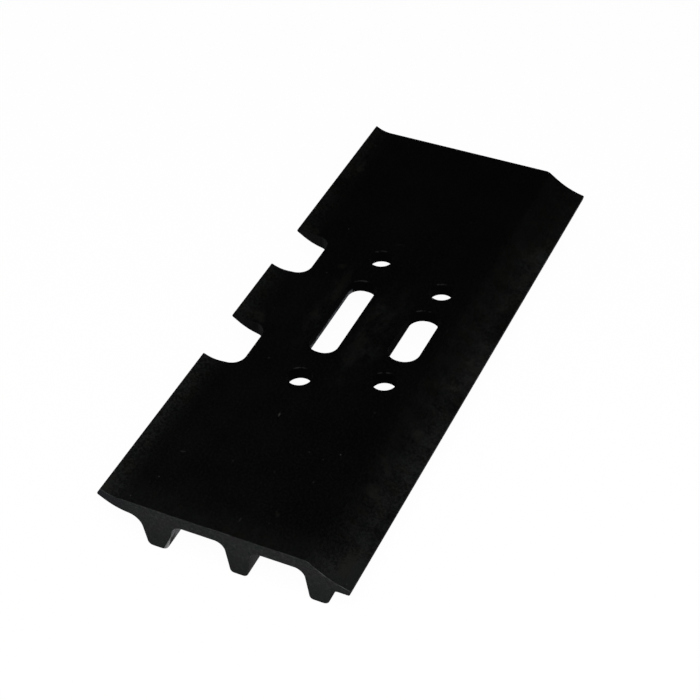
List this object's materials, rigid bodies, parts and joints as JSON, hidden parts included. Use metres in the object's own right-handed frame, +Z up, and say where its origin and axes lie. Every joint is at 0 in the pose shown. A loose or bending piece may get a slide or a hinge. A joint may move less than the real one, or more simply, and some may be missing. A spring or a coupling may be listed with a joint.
{
  "type": "excavator track shoe",
  "caption": "Triple-grouser track shoe: a rolled steel plate with three ribs beneath, curved front and rear lips, bolt holes, mud slots and link notches.",
  "frame": {"origin": "on the ground plane of the grouser tips, under the middle of the shoe's outer box", "axes": "+X along the shoe's 600 mm width, which lies across the track; +Y across the section towards the raised, notched rear lip; +Z up, out of the flat seat that the track links bolt to"},
  "size_m": [0.6, 0.246, 0.0527],
  "materials": {
    "painted_steel": "satin black paint over rolled and sheared steel"
  },
  "bodies": {
    "root": {"track_shoe": "painted_steel"}
  },
  "joints": []
}
